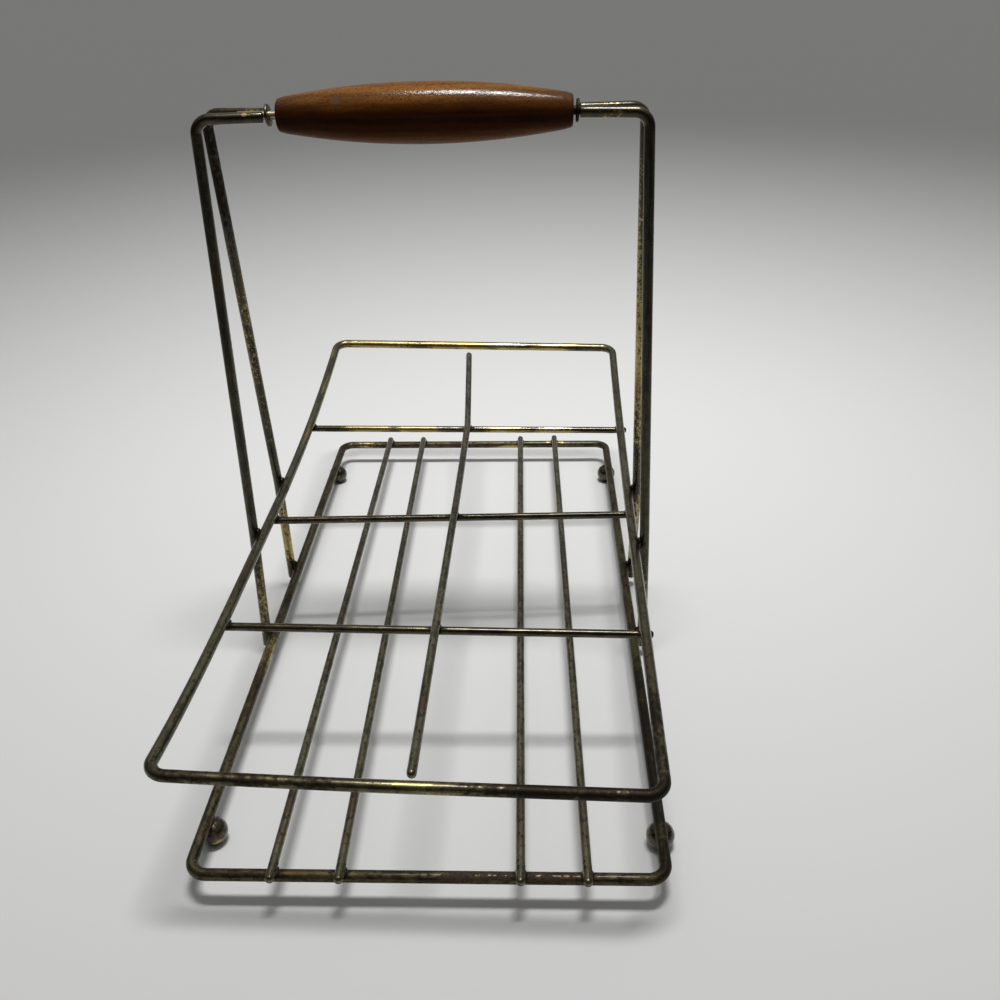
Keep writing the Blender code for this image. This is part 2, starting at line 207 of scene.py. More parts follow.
# %% A ring, a straight run and a bend
RUN_STEP, BEND_STEP = 2.5 * MM, 8  # along a straight run, and in degrees round a bend
FACETS = {HEAVY: 28, LIGHT: 24}  # round each wire
TOUCHING = 1e-6  # points nearer than this are one


def start_ring(name, at, along, radius, facets):
    """A ring across the start of a wire, in edit mode, and the list of its stations."""
    nothing_selected()
    turn = along.to_track_quat("Z", "Y")
    bpy.ops.mesh.primitive_circle_add(
        vertices=facets, radius=radius, location=at, rotation=turn.to_euler()
    )
    piece = bpy.context.object
    piece.name = piece.data.name = name
    bpy.ops.object.transform_apply(location=True, rotation=True, scale=True)
    bpy.ops.object.mode_set(mode="EDIT")
    return piece, [(at.copy(), turn.to_matrix(), 0.0)]


def draw_straight(stations, to):
    """The selected ring is extruded to a point in equal steps."""
    at, turn, run = stations[-1]
    way = to - at
    if way.length < TOUCHING:
        return
    steps = max(1, round(way.length / RUN_STEP))
    bpy.ops.mesh.extrude_repeat(steps=steps, offset=way / steps)
    for i in range(1, steps + 1):
        stations.append((at + way * i / steps, turn, run + way.length * i / steps))


def draw_bend(stations, centre, ahead):
    """The selected ring is spun about a centre until it faces ahead. In a script without a window a
    spin turns against its axis, so the axis points the other way."""
    at, turn, run = stations[-1]
    before = turn.col[2].normalized()
    axis = before.cross(ahead).normalized()
    angle = before.angle(ahead)
    steps = max(3, math.ceil(math.degrees(angle) / BEND_STEP))
    bpy.ops.mesh.spin(steps=steps, angle=angle, center=centre, axis=-axis)
    for i in range(1, steps + 1):
        part = Matrix.Rotation(angle * i / steps, 3, axis)
        length = (at - centre).length * angle * i / steps
        stations.append((centre + part @ (at - centre), part @ turn, run + length))


# %% [markdown]
# The cut ends of the thin wires were tumbled round, and those of the heavy ones only lost their
# burr. Both are closed by the same steps: the last ring is extruded on, each time a little smaller,
# and the small ring that is left gets a face.

# %% Ends, and the whole wire
# How far a tip reaches, in shares of the diameter, and the flat left on it, in shares of the radius
ROUND_TIP, CUT_TIP = (0.45, 0.3), (0.12, 0.72)
TIP_RINGS = 5


def close_end(at, outward, reach, flat):
    """The selected ring is drawn in over a reach to a small flat."""
    last, size = at, 1.0
    for step in range(1, TIP_RINGS + 1):
        angle = math.pi / 2 * step / TIP_RINGS
        place = at + outward * reach * math.sin(angle)
        share = flat + (1 - flat) * math.cos(angle)
        bpy.ops.mesh.extrude_region_move(TRANSFORM_OT_translate={"value": place - last})
        bpy.ops.transform.resize(value=(share / size,) * 3, center_override=place)
        last, size = place, share
    bpy.ops.mesh.edge_face_add()


def select_ring(piece, at, along):
    """Only the ring of points that lies across a wire at a point is selected."""
    bpy.ops.mesh.select_all(action="DESELECT")
    bpy.ops.object.mode_set(mode="OBJECT")
    for vertex in piece.data.vertices:
        way = vertex.co - at
        vertex.select = abs(way.dot(along)) < TOUCHING and way.length < HEAVY
    bpy.ops.object.mode_set(mode="EDIT")


def finish_mesh(angle=40):
    """The piece in edit mode: doubles merged, faces turned outwards, and smooth up to an angle."""
    bpy.ops.mesh.select_all(action="SELECT")
    bpy.ops.mesh.remove_doubles(threshold=TOUCHING)
    bpy.ops.mesh.normals_make_consistent(inside=False)
    bpy.ops.object.mode_set(mode="OBJECT")
    bpy.ops.object.shade_smooth_by_angle(angle=math.radians(angle))


def draw_wire(name, route, bends, diameter, ends=None):
    """A wire through the points of a route, bent at its inner points to the given radii. With ends,
    it starts and stops in a closed tip. Without, it runs round to its own start."""
    first = (route[1] - route[0]).normalized()
    last = (route[-1] - route[-2]).normalized()
    reach = ends[0] * diameter if ends else 0.0
    route = [route[0] + first * reach, *route[1:-1], route[-1] - last * reach]
    piece, stations = start_ring(name, route[0], first, diameter / 2, FACETS[diameter])
    for i, bend in enumerate(bends, start=1):
        back = (route[i - 1] - route[i]).normalized()
        ahead = (route[i + 1] - route[i]).normalized()
        half_angle = back.angle(ahead) / 2
        draw_straight(stations, route[i] + back * bend / math.tan(half_angle))
        centre = route[i] + (back + ahead).normalized() * bend / math.sin(half_angle)
        draw_bend(stations, centre, ahead)
    draw_straight(stations, route[-1])
    if ends:
        close_end(route[-1], last, reach, ends[1])
        select_ring(piece, route[0], first)
        close_end(route[0], -first, reach, ends[1])
    finish_mesh()
    lay_straight(piece, stations)
    return piece


def lay_straight(piece, stations):
    """Keeps each point's place in the straight wire, in metres: along it, and across it twice."""
    centres = np.array([at for at, turn, run in stations])
    turns = np.array([turn for at, turn, run in stations])
    runs = np.array([run for at, turn, run in stations])
    points = np.array([v.co for v in piece.data.vertices])
    nearest = np.array([((centres - p) ** 2).sum(1).argmin() for p in points])
    across = np.einsum("nji,nj->ni", turns[nearest], points - centres[nearest])
    places = np.column_stack([runs[nearest] + across[:, 2], across[:, 0], across[:, 1]])
    layer = piece.data.attributes.new("in_wire", "FLOAT_VECTOR", "POINT")
    layer.data.foreach_set("vector", places.astype(np.float32).ravel())


print("steps of", BEND_STEP, "degrees in bends and", RUN_STEP / MM, "mm in straight runs")

# %% [markdown]
# ## Building the finishes
# A finish is a small network of nodes. These few helpers keep it readable: each adds one node, or a
# row of them, and takes either a plain value or the output of another node for its sockets.

# %% Small helpers for shader nodes
def feed(tree, socket, value):
    """A link to a socket from another node's output, or its plain value."""
    if isinstance(value, bpy.types.NodeSocket):
        tree.links.new(value, socket)
    else:
        socket.default_value = value


def grain(tree, place, stretch, detail, roughness=0.55):
    """Noise whose spots are stretched: the numbers are how many fit in a metre, along each axis."""
    scaled = tree.nodes.new("ShaderNodeVectorMath")
    scaled.operation = "MULTIPLY"
    feed(tree, scaled.inputs[0], place)
    scaled.inputs[1].default_value = stretch
    made = tree.nodes.new("ShaderNodeTexNoise")
    made.inputs["Scale"].default_value = 1.0
    made.inputs["Detail"].default_value = detail
    made.inputs["Roughness"].default_value = roughness
    tree.links.new(scaled.outputs[0], made.inputs["Vector"])
    return made.outputs["Fac"]


def sums(tree, *terms):
    """The sum of (value, weight) terms."""
    total = 0.0
    for value, weight in terms:
        step = tree.nodes.new("ShaderNodeMath")
        step.operation = "MULTIPLY_ADD"
        feed(tree, step.inputs[0], value)
        step.inputs[1].default_value = weight
        feed(tree, step.inputs[2], total)
        total = step.outputs[0]
    return total


def rise(tree, value, low, high, top=1.0):
    """0 below low, top above high, with a soft step between them."""
    made = tree.nodes.new("ShaderNodeMapRange")
    made.interpolation_type = "SMOOTHSTEP"
    feed(tree, made.inputs["Value"], value)
    made.inputs["From Min"].default_value = low
    made.inputs["From Max"].default_value = high
    made.inputs["To Max"].default_value = top
    return made.outputs["Result"]


def layered(tree, under, *coats, kind="RGBA"):
    """Coats laid on each other, each (mask, coat), and seen where its mask is 1. They are colours,
    or plain numbers with kind FLOAT."""
    # A mix node has two inputs and an output for numbers, and others for colours
    low, high, out = {"FLOAT": (2, 3, 0), "RGBA": (6, 7, 2)}[kind]
    for mask, coat in coats:
        made = tree.nodes.new("ShaderNodeMix")
        made.data_type = kind
        feed(tree, made.inputs[0], mask)
        feed(tree, made.inputs[low], under)
        feed(tree, made.inputs[high], coat)
        under = made.outputs[out]
    return under


def layer_of(tree, name, output="Fac"):
    """A layer that was laid on a piece's points."""
    made = tree.nodes.new("ShaderNodeAttribute")
    made.attribute_name = name
    return made.outputs[output]


def embossed(tree, height, strength, depth):
    """The surface's direction where it rises by a depth from height 0 to 1."""
    made = tree.nodes.new("ShaderNodeBump")
    made.inputs["Strength"].default_value = strength
    made.inputs["Distance"].default_value = depth
    tree.links.new(height, made.inputs["Height"])
    return made.outputs[0]


# %% [markdown]
# ## Worn brass plate
# Every wire was once bright brass. Now a dull olive-brown film covers it, with streaks that follow
# the wire, freckles where moisture stood, rust where the plate has gone, bare metal where hands and
# glasses rub it, and black scale around each weld. The layer of black scale also carries painted
# shade, on the rail's front, the base's right side and one leg. One group makes all of these from
# the point's place in its wire and from three painted layers, and each material gives it its own
# colours.

# %% The group for worn plate
# The black of the scale is also the colour of the painted shade that is laid in the same layer
FRECKLE, SCALE = (0.014, 0.01, 0.007, 1), (0.02, 0.014, 0.009, 1)
RUST, OLD_RUST = (0.055, 0.024, 0.01, 1), (0.016, 0.008, 0.005, 1)
DEEPER_GOLD = (0.27, 0.195, 0.075, 1)
INPUTS = {
    "Place": "Vector", "Scorched": "Float", "Bare": "Float", "Rusty": "Float", "Film": "Color",
    "Dark film": "Color", "Blush": "Color", "Metal": "Color", "Speckle": "Float",
    "Dullness": "Float",
}
OUTPUTS = {
    "Colour": "Color", "Metallic": "Float", "Roughness": "Float", "Height": "Float",
    "Lacquer": "Float",
}


def plate_group():
    """The colour, metal, roughness, relief and lacquer of worn plate."""
    tree = bpy.data.node_groups.new("worn_plate", "ShaderNodeTree")
    for way, sockets in (("INPUT", INPUTS), ("OUTPUT", OUTPUTS)):
        for name, kind in sockets.items():
            tree.interface.new_socket(name, in_out=way, socket_type="NodeSocket" + kind)
    given = tree.nodes.new("NodeGroupInput").outputs
    made = tree.nodes.new("NodeGroupOutput").inputs

    place = given["Place"]
    streaks = grain(tree, place, (40, 520, 520), 4)
    patches = grain(tree, place, (55, 110, 110), 3)
    blotches = grain(tree, place, (170, 380, 380), 4, 0.65)
    freckles = grain(tree, place, (520, 620, 620), 3, 0.6)
    pits = grain(tree, place, (1500, 1900, 1900), 2)

    cloudy = sums(tree, (streaks, 0.5), (blotches, 0.5))
    reddened = sums(tree, (patches, 0.6), (blotches, 0.4))
    film = layered(
        tree, given["Dark film"],
        (rise(tree, cloudy, 0.4, 0.58), given["Film"]),
        (rise(tree, reddened, 0.5, 0.6, 0.8), given["Blush"]),
        (rise(tree, freckles, 0.54, 0.64, 0.75), FRECKLE),
    )
    speckles = sums(tree, (freckles, 0.6), (pits, 0.5), (1.0, -0.04))
    worn = layered(tree, streaks, (given["Speckle"], speckles), kind="FLOAT")
    bare = rise(tree, sums(tree, (worn, 1.0), (given["Bare"], 0.32)), 0.68, 0.78)
    metal = layered(tree, given["Metal"], (rise(tree, patches, 0.4, 0.6, 0.7), DEEPER_GOLD))
    rust = sums(tree, (patches, 0.45), (freckles, 0.55), (given["Rusty"], 0.3))
    rust = rise(tree, rust, 0.68, 0.78)
    rust_colour = layered(tree, RUST, (rise(tree, pits, 0.4, 0.6), OLD_RUST))
    # Black scale round the welds, and painted shade where the layer is laid away from them
    scale_and_shade_mask = sums(tree, (given["Scorched"], 1.0), (freckles, 0.9), (patches, 0.5))
    scale_and_shade_mask = rise(tree, scale_and_shade_mask, 1.05, 1.5)

    colour = layered(tree, film, (bare, metal), (rust, rust_colour), (scale_and_shade_mask, SCALE))
    metallic = layered(tree, 0.92, (bare, 1.0), (rust, 0.05), (scale_and_shade_mask, 0.85), kind="FLOAT")
    dull = sums(tree, (streaks, 0.3), (freckles, 0.2), (given["Dullness"], 1.0), (1.0, 0.08))
    rubbed = sums(tree, (freckles, 0.25), (1.0, 0.18))
    roughness = layered(tree, dull, (bare, rubbed), (rust, 0.8), (scale_and_shade_mask, 0.55), kind="FLOAT")
    relief = sums(
        tree, (freckles, 0.5), (pits, 0.25), (rust, 0.5), (scale_and_shade_mask, 0.6), (bare, -0.25)
    )
    lacquer = sums(
        tree, (rust, -1.0), (scale_and_shade_mask, -1.0), (bare, -0.6), (freckles, -0.5),
        (given["Dullness"], -2.0), (1.0, 1.3)
    )
    lacquer = rise(tree, lacquer, 0.1, 1.1, 0.6)
    for name, value in zip(OUTPUTS, (colour, metallic, roughness, relief, lacquer)):
        tree.links.new(value, made[name])
    return tree


WORN_PLATE = plate_group()
print("group", WORN_PLATE.name, "with", len(WORN_PLATE.nodes), "nodes")

# %% [markdown]
# The wires differ. The rail is olive and rather clean, the floor wires and the divider are paler,
# the wires across are dark with gold on their upper side, the base is brown and rusty from standing
# in the wet, and the legs are nearly black. What is left of the lacquer gives all of them a thin
# gloss.

# %% The plated materials
GOLD = (0.5, 0.39, 0.15)


def plated(name, film, dark, blush, speckle=0.45, dullness=0.0, relief=0.35, in_wire=True):
    """Worn plate with the colours of its film, of the dark in the film and of the blush over it. It
    follows the straight wire, or else it lies still in the piece."""
    material = bpy.data.materials.new(name)
    material.use_nodes = True
    tree = material.node_tree
    shader = tree.nodes["Principled BSDF"].inputs
    worn = tree.nodes.new("ShaderNodeGroup")
    worn.node_tree = WORN_PLATE
    if in_wire:
        place = layer_of(tree, "in_wire", "Vector")
    else:
        finer = tree.nodes.new("ShaderNodeVectorMath")
        finer.operation = "SCALE"
        feed(tree, finer.inputs[0], tree.nodes.new("ShaderNodeTexCoord").outputs["Object"])
        finer.inputs["Scale"].default_value = 2.4
        place = finer.outputs[0]
    feed(tree, worn.inputs["Place"], place)
    for socket, layer in (("Scorched", "scorched"), ("Bare", "bare"), ("Rusty", "rusty")):
        feed(tree, worn.inputs[socket], layer_of(tree, layer))
    colours = {"Film": film, "Dark film": dark, "Blush": blush, "Metal": GOLD}
    for socket, colour in colours.items():
        worn.inputs[socket].default_value = (*colour, 1)
    worn.inputs["Speckle"].default_value = speckle
    worn.inputs["Dullness"].default_value = dullness
    sockets = ("Base Color", "Metallic", "Roughness", "Coat Weight")
    for output, socket in zip(("Colour", "Metallic", "Roughness", "Lacquer"), sockets):
        tree.links.new(worn.outputs[output], shader[socket])
    shader["Coat Roughness"].default_value = 0.18
    normal = embossed(tree, worn.outputs["Height"], relief, 0.12 * MM)
    tree.links.new(normal, shader["Normal"])
    return material


RAIL_PLATE = plated(
    "rail_plate", (0.135, 0.122, 0.06), (0.05, 0.042, 0.02), (0.09, 0.06, 0.027), 0.3, 0.03
)
CROSS_PLATE = plated(
    "cross_plate", (0.085, 0.075, 0.036), (0.02, 0.015, 0.006), (0.06, 0.037, 0.016), 0.35, -0.07
)
FLOOR_PLATE = plated(
    "floor_plate", (0.18, 0.166, 0.1), (0.055, 0.045, 0.026), (0.13, 0.085, 0.048), 0.3, 0.05
)
BASE_PLATE = plated(
    "base_plate", (0.105, 0.09, 0.044), (0.026, 0.019, 0.009), (0.085, 0.048, 0.021), 0.5, 0.25
)
LEG_PLATE = plated(
    "leg_plate", (0.055, 0.046, 0.02), (0.013, 0.01, 0.004), (0.045, 0.033, 0.012), 0.7, -0.05
)
HAND_BRASS = plated("hand_brass", (0.6, 0.52, 0.36), (0.3, 0.25, 0.16), (0.4, 0.32, 0.2))
WELD_SCALE = plated(
    "weld_scale", (0.05, 0.042, 0.03), (0.02, 0.017, 0.013), (0.05, 0.03, 0.02), relief=0.8
)
TURNED_BRASS = plated(
    "turned_brass", (0.14, 0.11, 0.06), (0.05, 0.038, 0.02), (0.09, 0.06, 0.03), relief=0.4,
    in_wire=False
)
BALL_BRASS = plated(
    "ball_brass", (0.1, 0.085, 0.045), (0.025, 0.019, 0.011), (0.08, 0.04, 0.018), 0.6, relief=0.6,
    in_wire=False
)
print("plated materials:", WORN_PLATE.users)

# %% [markdown]
# ## Where the welds are
# The wires were welded by eye, so none of them lies quite where it should. The table of welds is
# read twice: for the black scale painted around each of them, and for their lumps at the end.

# %% The places of the welds
# Where a floor wire crosses the front and the back of the base, in shares of its half width, and
# how far over the back wire it reaches, in shares of that wire
FLOOR_WIRES = {
    "left_outer": (-0.633, -0.632, 0.6),
    "left_inner": (-0.348, -0.382, 0.6),
    "right_inner": (0.396, 0.356, 0.75),
    "right_outer": (0.67, 0.612, 1.0),
}
# Where a cross wire meets the left and the right side of the rail, in cells from the middle
CROSS_WIRES = {"front": (-1.007, -0.976), "middle": (-0.064, 0.086), "back": (0.988, 1.041)}
DIVIDER_OFFSET = 1.65 * MM
SIDES = {"left": -1, "right": 1}
ENDS = {"front": -1, "back": 1}
CORNERS = [(f"{e}_{s}", side, end) for s, side in SIDES.items() for e, end in ENDS.items()]
# How far to the right of its wire each ball was welded
FOOT_SLIPS = {
    "front_left": 0.8 * MM, "back_left": 0.0, "front_right": 0.7 * MM, "back_right": -0.8 * MM
}


def leg_seats(side, end):
    """Where a leg is welded, beside the base loop and beside the rail."""
    out = side * (HEAVY + GAP)
    spread = LEG_SPREAD - (LEG_SPREAD - LEG_TOP_SPREAD) * RAIL_ABOVE_BASE / HANDLE_ABOVE_BASE
    rail_seat = on_rail(side * HALF_WIDTH, end * spread)
    rail_seat.x += out
    return on_base(side * HALF_WIDTH + out, end * LEG_SPREAD), rail_seat


WELDS = {}
TO_WELD = (HEAVY + GAP) / 2
for name, shares in FLOOR_WIRES.items():
    for share, (end_name, end) in zip(shares, ENDS.items()):
        WELDS[f"floor_{name}_{end_name}"] = on_base(share * HALF_WIDTH, end * BASE_HALF, TO_WELD)
for name, shares in CROSS_WIRES.items():
    for share, (side_name, side) in zip(shares, SIDES.items()):
        WELDS[f"cross_{name}_{side_name}"] = on_rail(side * HALF_WIDTH, share * CELL, TO_WELD)
    middle = (shares[0] + shares[1]) / 2 * CELL
    WELDS[f"divider_{name}"] = on_rail(DIVIDER_OFFSET, middle, WELD_STEP - (LIGHT + GAP) / 2)
for corner, side, end in CORNERS:
    low, high = leg_seats(side, end)
    inward = Vector((-side * TO_WELD, 0, 0))
    WELDS[f"leg_{corner}_base"] = low + inward
    WELDS[f"leg_{corner}_rail"] = high + inward
    WELDS[f"foot_{corner}"] = on_base(
        side * HALF_WIDTH + FOOT_SLIPS[corner] / 2, end * (BASE_HALF - BALL_INSET), -HEAVY / 2
    )
print("welds", len(WELDS))

# %% [markdown]
# ## Painting the wear and some shade
# Wear is painted as on a real model: each layer is a number on every point of a piece, and a touch
# of the brush is a place, a reach and a strength.

# %% The brush
def paint(piece, layer, touches):
    """The strongest touch at each point, easing to nothing at its reach."""
    points = np.array([v.co for v in piece.data.vertices])
    value = np.zeros(len(points))
    for place, reach, strength in touches:
        near = 1 - np.sqrt(((points - np.array(place)) ** 2).sum(1)) / reach
        near = np.clip(near, 0, 1)
        value = np.maximum(value, strength * near * near * (3 - 2 * near))
    made = piece.data.attributes.new(layer, "FLOAT", "POINT")
    made.data.foreach_set("value", value.astype(np.float32))


def scorch_of(*words, reach=6 * MM, strength=1.0):
    """A touch of black scale at each weld whose name holds one of the words."""
    return [(p, reach, strength) for n, p in WELDS.items() if any(w in n for w in words)]


def dress(piece, material, body="carrier_frame", replaces=()):
    """A piece's finish, the body it moves with and the node it replaces."""
    piece.data.materials.clear()
    piece.data.materials.append(material)
    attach(piece, body)
    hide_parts(*replaces)


def show(piece):
    """Prints a piece's size and how many faces it has."""
    size = [round(c / MM, 1) for c in piece.dimensions]
    print(piece.name, size, "mm,", len(piece.data.polygons), "faces")


print("touches of black scale on the rail:", len(scorch_of("cross_", "_rail")))

# %% [markdown]
# ## The base loop
# One heavy wire, bent round four corners and butt welded to itself. The butt weld lies beside the
# front left leg, where the burn of the leg's own weld hides it.

# %% The base loop
def loop_route(half_length, start_y):
    """Round a loop from a point of its left side, by the front."""
    start = (-1, start_y)
    corners = [(-1, -half_length), (1, -half_length), (1, half_length), (-1, half_length)]
    return [Vector((side * HALF_WIDTH, y, 0)) for side, y in (start, *corners, start)]


base_route = [on_base(p.x, p.y) for p in loop_route(BASE_HALF, -LEG_SPREAD)]
base_loop = draw_wire("base_loop_wire", base_route, [CORNER] * 4, HEAVY)
paint(base_loop, "scorched", [
    *scorch_of("floor_", "leg_"),
    *scorch_of("foot_", strength=0.8),
    # Painted shadow down the front half of the base's right side, where the rail's shadow falls
    *((on_base(HALF_WIDTH, y * MM), 32 * MM, 0.75) for y in range(-140, -50, 16)),
])
paint(base_loop, "rusty", [
    (on_base(-HALF_WIDTH, -60 * MM), 90 * MM, 0.6),
    (on_base(20 * MM, -BASE_HALF), 60 * MM, 0.8),
    (on_base(HALF_WIDTH, -20 * MM), 110 * MM, 0.6),
    (on_base(-HALF_WIDTH, 90 * MM), 70 * MM, 0.6),
    (on_base(0, BASE_HALF), 80 * MM, 0.6),
])
paint(base_loop, "bare", [
    (on_base(20 * MM, BASE_HALF, 2 * MM), 26 * MM, 0.7),
    (on_base(48 * MM, BASE_HALF, 2 * MM), 16 * MM, 0.7),
    (on_base(-40 * MM, -BASE_HALF, 2 * MM), 24 * MM, 0.3),
    (on_base(-60 * MM, BASE_HALF, 2 * MM), 24 * MM, 0.65),
    (on_base(-HALF_WIDTH, -45 * MM, 1 * MM), 30 * MM, 0.7),
])
dress(base_loop, BASE_PLATE, replaces=["base_loop"])
show(base_loop)

# %% [markdown]
# ## The top rail
# The same wire, a little longer. It is drawn flat, as it was made, and then every point goes where
# the bent carrier has taken it. Its butt weld lies beside the front left leg too.

# %% The top rail
RAIL_BUTT = -20.8 * MM


def bend_with_carrier(piece):
    """A piece drawn flat about the rail's level follows the rail's bend, climb, lean and turn."""
    points = np.array([v.co for v in piece.data.vertices])
    moved = np.array([on_rail(x, y, -z) for x, y, z in points])
    piece.data.vertices.foreach_set("co", moved.astype(np.float32).ravel())
    piece.data.update()


top_rail = draw_wire("top_rail_wire", loop_route(RAIL_HALF, RAIL_BUTT), [CORNER] * 4, HEAVY)
bend_with_carrier(top_rail)
over_wire = Vector((0, 0, 2 * MM))
paint(top_rail, "scorched", [
    *scorch_of("cross_front_l", "cross_front_r", "cross_m", "cross_b", "_rail"),
    # Painted shade along the front, all but its middle, and down the right side by the front corner
    *((on_rail(x * MM, -RAIL_HALF), 28 * MM, 0.65) for x in (-66, -46, -26, 24)),
    *((on_rail(x * MM, -RAIL_HALF), 28 * MM, 0.85) for x in (40, 56, 72)),
    *((on_rail(HALF_WIDTH, y * MM), 34 * MM, 0.7) for y in (-140, -120)),
])
back_middle = on_rail(0, RAIL_HALF) + over_wire
paint(top_rail, "bare", [
    *((back_middle + Vector((x * MM, 0, 0)), 28 * MM, 1.0) for x in range(-60, 41, 20)),
    *((on_rail(x * MM, -RAIL_HALF) + over_wire, 20 * MM, 0.45) for x in (-14, 2, 18)),
    *((on_rail(-HALF_WIDTH, y * MM), 40 * MM, 0.5) for y in (60, 100, 140)),
])
paint(top_rail, "rusty", [
    (on_rail(-HALF_WIDTH, 60 * MM), 60 * MM, 0.5),
    (on_rail(-HALF_WIDTH, 10 * MM), 20 * MM, 0.6),
])
dress(top_rail, RAIL_PLATE, replaces=["top_rail"])
show(top_rail)

# %% [markdown]
# ## The floor wires
# Four thinner wires carry the glasses. They lie on the front and the back of the base loop, a
# little out of square, and their tumbled tips stick out in front.

# %% The floor wires
FLOOR_OVERHANG = 3.5 * MM
for name, (front_share, back_share, reach_share) in FLOOR_WIRES.items():
    front = on_base(front_share * HALF_WIDTH, -BASE_HALF - HEAVY / 2 - FLOOR_OVERHANG, WELD_STEP)
    back = on_base(back_share * HALF_WIDTH, BASE_HALF + HEAVY * (reach_share - 0.5), WELD_STEP)
    floor_wire = draw_wire(f"floor_{name}_wire", [front, back], [], LIGHT, ROUND_TIP)
    paint(floor_wire, "scorched", scorch_of(f"floor_{name}"))
    paint(floor_wire, "rusty", [
        (front.lerp(back, 0.3), 60 * MM, 0.55),
        (front.lerp(back, 0.75), 40 * MM, 0.35),
    ])
    paint(floor_wire, "bare", [(front.lerp(back, 0.55), 40 * MM, 0.2)])
    dress(floor_wire, FLOOR_PLATE, replaces=[f"floor_wire_{name}"])
    show(floor_wire)

# %% [markdown]
# ## The cross wires and the divider
# Three wires hang under the sides of the rail and mark off the rows. The divider lies on them. Both
# of its ends are free, and the back one has been knocked to the left.

# %% The cross wires and the divider
CROSS_OVERHANG = 1.4 * MM
CROSS_SHINE = {"front": 0.25, "middle": 0.4, "back": 1.05}
for name, shares in CROSS_WIRES.items():
    seats = [
        on_rail(side * HALF_WIDTH, share * CELL, WELD_STEP)
        for share, side in zip(shares, SIDES.values())
    ]
    middle = (seats[0] + seats[1]) / 2
    longer = 1 + (HEAVY / 2 + CROSS_OVERHANG) / HALF_WIDTH
    left, right = [middle + (place - middle) * longer for place in seats]
    cross_wire = draw_wire(f"cross_{name}_wire", [left, right], [], LIGHT, ROUND_TIP)
    scorched = scorch_of(f"cross_{name}", f"divider_{name}", reach=7 * MM)
    paint(cross_wire, "scorched", scorched)
    above = Vector((0, 0, LIGHT / 2))
    paint(cross_wire, "bare", [
        (left.lerp(right, share) + above, 24 * MM, CROSS_SHINE[name])
        for share in (0.2, 0.35, 0.62, 0.78)
    ])
    dress(cross_wire, CROSS_PLATE, replaces=[f"cross_wire_{name}"])
    show(cross_wire)

# Where the divider stops short of the rail, its level, and how far its back tip was knocked
front, back = -RAIL_HALF + 4.4 * MM, RAIL_HALF - 7.8 * MM
level = LIGHT + GAP - WELD_STEP
TIP_BEND = 3.9 * MM
divider_route = [Vector((DIVIDER_OFFSET, y, level)) for y in (front, back)]
divider = draw_wire("divider_wire", divider_route, [], LIGHT, ROUND_TIP)
for vertex in divider.data.vertices:
    vertex.co.x -= TIP_BEND * max(0.0, (vertex.co.y - CELL) / (back - CELL))
bend_with_carrier(divider)
paint(divider, "scorched", scorch_of("divider_"))
paint(divider, "bare", [(on_rail(DIVIDER_OFFSET, 60 * MM), 50 * MM, 0.1)])
dress(divider, FLOOR_PLATE, replaces=["centre_divider"])
show(divider)

# %% [markdown]
# ## The bail
# Four legs stand outside both loops. Each bends over at the top and runs in to the grip, side by
# side with its partner, with the rod between them.

# %% The bail's legs and the rod
LEG_TAIL, LEG_PINCH, RAIL_BEND, TOP_BEND = 6.5 * MM, 3 * MM, 40 * MM, 5 * MM
GRIP_HALF, GRIP_PLAY, ROD_WELD = 50.8 * MM, 3.3 * MM, 10 * MM
WIRES_END = GRIP_HALF + GRIP_PLAY
BESIDE_ROD = (LIGHT + HEAVY) / 2 + GAP
# How bare each leg is low down, half way up and near the top, and the painted shade near its top
LEG_WEAR_AND_SHADE = {
    "front_left": (0.65, 0.1, 0.0, 0.0),
    "back_left": (0.9, 0.55, 0.0, 0.7),
    "front_right": (0.65, 0.1, 0.0, 0.0),
    "back_right": (0.9, 0.85, 0.6, 0.0),
}
# How bare the runs beside the grip are, above and below
RUN_WEAR = {-1: (0.7, 0.2), 1: (0.3, 0.75)}
for corner, side, end in CORNERS:
    low, high = leg_seats(side, end)
    tail = low + (low - high).normalized() * LEG_TAIL
    out = side * (HALF_WIDTH + HEAVY + GAP - LEG_PINCH)
    top = Vector((out + leaning(HANDLE_Z), end * LEG_TOP_SPREAD, HANDLE_Z))
    inner = Vector((side * WIRES_END + leaning(HANDLE_Z), end * BESIDE_ROD, HANDLE_Z))
    route = [tail, high, top, inner]
    leg = draw_wire(f"leg_{corner}_wire", route, [RAIL_BEND, TOP_BEND], HEAVY, CUT_TIP)
    foot_bare, middle_bare, top_bare, painted_top_shade = LEG_WEAR_AND_SHADE[corner]
    over_bare, under_bare = RUN_WEAR[side]
    # Black scale at the leg's welds, and painted shade over the upper leg and its bend
    paint(leg, "scorched", [
        *scorch_of(f"leg_{corner}"), (high.lerp(top, 0.9), 90 * MM, painted_top_shade)
    ])
    paint(leg, "bare", [
        (low.lerp(high, 0.4), 45 * MM, foot_bare),
        (high.lerp(top, 0.4), 100 * MM, middle_bare),
        (high.lerp(top, 0.8), 50 * MM, top_bare),
        (inner + Vector((side * 5 * MM, 0, 1.5 * MM)), 7 * MM, over_bare),
        (inner + Vector((side * 12 * MM, 0, -3 * MM)), 12 * MM, under_bare),
    ])
    dress(leg, LEG_PLATE, replaces=[f"bail_leg_{corner}"])
    show(leg)

reach = WIRES_END + ROD_WELD
left, right = [
    Vector((side * reach + leaning(HANDLE_Z), 0, HANDLE_Z)) for side in SIDES.values()
]
rod = draw_wire("rod_wire", [left, right], [], LIGHT, CUT_TIP)
paint(rod, "bare", [(left.lerp(right, share), 30 * MM, 0.4) for share in (0.1, 0.3, 0.5, 0.7, 0.9)])
paint(rod, "scorched", [(right, 30 * MM, 1.6)])
dress(rod, HAND_BRASS, replaces=["grip_rod"])
show(rod)

# %% [markdown]
# ## The grip
# A barrel turned from one stick of wood, bored through. It is modelled as it was turned: a ring
# runs along the outline, growing and shrinking, and comes back through the bore to its start.

